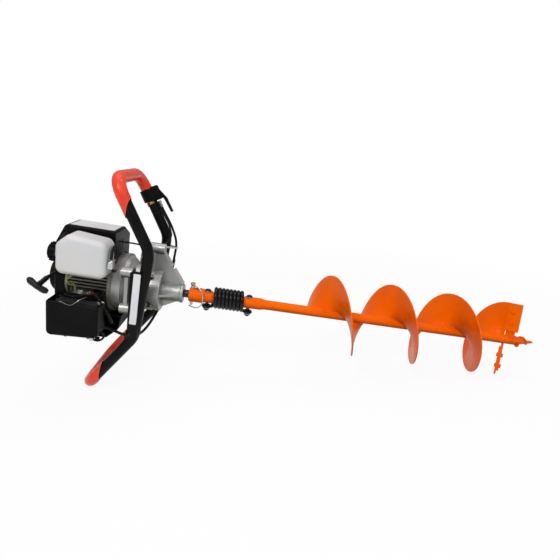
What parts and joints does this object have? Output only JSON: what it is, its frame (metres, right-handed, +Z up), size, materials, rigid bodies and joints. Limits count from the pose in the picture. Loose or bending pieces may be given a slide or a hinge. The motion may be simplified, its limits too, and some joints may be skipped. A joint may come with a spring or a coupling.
{
  "type": "ice fishing auger",
  "caption": "Petrol-engined ice auger with spring-coupled single flighting, two cutting blades, gearbox and looped handle, lying on its lower grip.",
  "frame": {"origin": "middle of the floor rectangle under the machine as it lies on its lower grip and one blade corner", "axes": "+X towards the screw point, +Y away from the carburettor side, +Z up"},
  "size_m": [1.2538, 0.2364, 0.5239],
  "materials": {
    "orange_paint": "glossy orange paint, scuffed at the edges",
    "black_paint": "satin black paint",
    "cast_alloy": "silver lacquered die casting",
    "bright_steel": "ground or zinc-plated steel",
    "black_oxide_steel": "black oxide",
    "black_plastic": "satin moulded plastic with a fine grain",
    "tank_plastic": "translucent natural polyethylene",
    "red_switch_plastic": "moulded",
    "white_nylon": "moulded",
    "orange_rubber": "soft foam rubber sleeve",
    "black_rubber": "moulded rubber",
    "hose_plastic": "translucent yellow-green hose",
    "rope_fabric": "braided cord",
    "filter_foam": "open-cell foam"
  },
  "bodies": {
    "machine": {"air_filter_base": "black_plastic", "air_filter_box": "black_plastic", "bearings": "bright_steel", "cable_tie": "white_nylon", "carburettor": "cast_alloy", "clutch_housing": "cast_alloy", "crankcase": "cast_alloy", "cylinder": "cast_alloy", "cylinder_shroud": "black_plastic", "engine_hood": "black_plastic", "filter_element": "filter_foam", "fuel_hose": "hose_plastic", "fuel_tank": "tank_plastic", "gearbox_cover": "cast_alloy", "gearbox_housing": "cast_alloy", "handle_brackets": "black_paint", "handle_mounts": "cast_alloy", "inlet_manifold": "cast_alloy", "lower_grip": "orange_rubber", "lower_handle_tube": "black_paint", "m6_screws": "black_oxide_steel", "muffler": "black_paint", "output_seal": "black_rubber", "spark_plug": "bright_steel", "starter_housing": "black_plastic", "stop_lead": "black_rubber", "throttle_cable": "black_rubber", "throttle_housing": "black_plastic", "upper_grip": "orange_rubber", "upper_handle_tube": "black_paint"},
    "drive": {"output_shaft": "bright_steel", "output_gear": "bright_steel", "drive_socket": "orange_paint", "drive_bolt": "bright_steel", "lock_pin": "bright_steel", "shock_spring": "black_paint"},
    "pin_ring": {"lock_ring": "bright_steel"},
    "auger": {"auger_tube": "orange_paint", "auger_flighting": "orange_paint", "screw_point": "orange_paint", "blade_carriers": "orange_paint", "cutting_blades": "orange_paint", "blade_bolts": "bright_steel", "auger_bolt": "bright_steel"},
    "layshaft_set": {"layshaft": "bright_steel", "layshaft_gear": "bright_steel"},
    "clutch_output": {"pinion_shaft": "bright_steel", "clutch_drum": "bright_steel"},
    "crank": {"crankshaft": "bright_steel", "flywheel_fan": "cast_alloy", "clutch_hub_and_shoes": "bright_steel"},
    "starter_pull": {"starter_handle": "black_plastic", "starter_rope": "rope_fabric"},
    "reel": {"starter_reel": "black_plastic"},
    "throttle_trigger": {"throttle_lever": "black_plastic"},
    "throttle_valve": {"throttle_arm": "bright_steel"},
    "choke": {"choke_lever": "bright_steel"},
    "primer": {"primer_bulb": "black_rubber"},
    "cap": {"fuel_cap": "black_plastic"},
    "switch": {"stop_switch": "red_switch_plastic"}
  },
  "joints": [
    {"name": "auger_spin", "type": "hinge", "parent": "machine", "child": "drive", "pos_m": [-0.30607, 0.00975, 0.22376], "axis": [0.9903, 0, -0.1389], "continuous": true},
    {"name": "shock_twist", "type": "hinge", "parent": "drive", "child": "auger", "pos_m": [-0.20258, 0.00975, 0.20924], "axis": [0.9903, 0, -0.1389], "range_deg": [-15, 15], "stiffness_Nm_per_rad": 90, "deforming": ["shock_spring"]},
    {"name": "layshaft_spin", "type": "hinge", "parent": "machine", "child": "layshaft_set", "pos_m": [-0.39039, 0.04287, 0.2273], "axis": [0.9903, 0, -0.1389], "continuous": true},
    {"name": "clutch_output_spin", "type": "hinge", "parent": "machine", "child": "clutch_output", "pos_m": [-0.38814, 0.00975, 0.24335], "axis": [0.9903, 0, -0.1389], "continuous": true},
    {"name": "crank_spin", "type": "hinge", "parent": "machine", "child": "crank", "pos_m": [-0.57432, 0.00975, 0.26946], "axis": [0.9903, 0, -0.1389], "continuous": true},
    {"name": "starter_pull", "type": "slide", "parent": "machine", "child": "starter_pull", "axis": [-0.018, -0.9916, -0.1284], "range_m": [0, 0.6], "stiffness_N_per_m": 30, "springref_m": -0.3, "deforming": ["starter_rope"]},
    {"name": "reel_spin", "type": "hinge", "parent": "machine", "child": "reel", "pos_m": [-0.60651, 0.00975, 0.27398], "axis": [0.9903, 0, -0.1389], "range_deg": [0, 1725]},
    {"name": "throttle_squeeze", "type": "hinge", "parent": "machine", "child": "throttle_trigger", "pos_m": [-0.38846, 0.09975, 0.47298], "axis": [0, 1, 0], "range_deg": [0, 17], "stiffness_Nm_per_rad": 0.6, "springref_deg": -17.19},
    {"name": "throttle_valve_turn", "type": "hinge", "parent": "machine", "child": "throttle_valve", "pos_m": [-0.52056, -0.05425, 0.23163], "axis": [0.9903, 0, -0.1389], "range_deg": [0, 43]},
    {"name": "choke_turn", "type": "hinge", "parent": "machine", "child": "choke", "pos_m": [-0.56017, -0.05425, 0.23718], "axis": [-0.9903, 0, 0.1389], "range_deg": [0, 60]},
    {"name": "primer_press", "type": "slide", "parent": "machine", "child": "primer", "axis": [0.1389, 0, 0.9903], "range_m": [0, 0.004], "stiffness_N_per_m": 400, "springref_m": -0.001, "deforming": ["primer_bulb"]},
    {"name": "cap_turn", "type": "hinge", "parent": "machine", "child": "cap", "pos_m": [-0.56685, -0.08475, 0.35152], "axis": [0.9903, 0, -0.1389], "range_deg": [0, 540]},
    {"name": "stop_slide", "type": "slide", "parent": "machine", "child": "switch", "axis": [0.3575, 0, -0.9339], "range_m": [0, 0.006]},
    {"name": "pin_ring_swing", "type": "hinge", "parent": "drive", "child": "pin_ring", "pos_m": [-0.28931, 0.00975, 0.24968], "axis": [-0.4952, -0.866, 0.0695], "range_deg": [0, 100]}
  ],
  "couplings": [
    {"joint": "layshaft_spin", "follows": "auger_spin", "ratio": -3.3333},
    {"joint": "clutch_output_spin", "follows": "auger_spin", "ratio": 18.519},
    {"joint": "reel_spin", "follows": "starter_pull", "rad_per_m": 50},
    {"joint": "throttle_valve_turn", "follows": "throttle_squeeze", "ratio": 2.5}
  ]
}
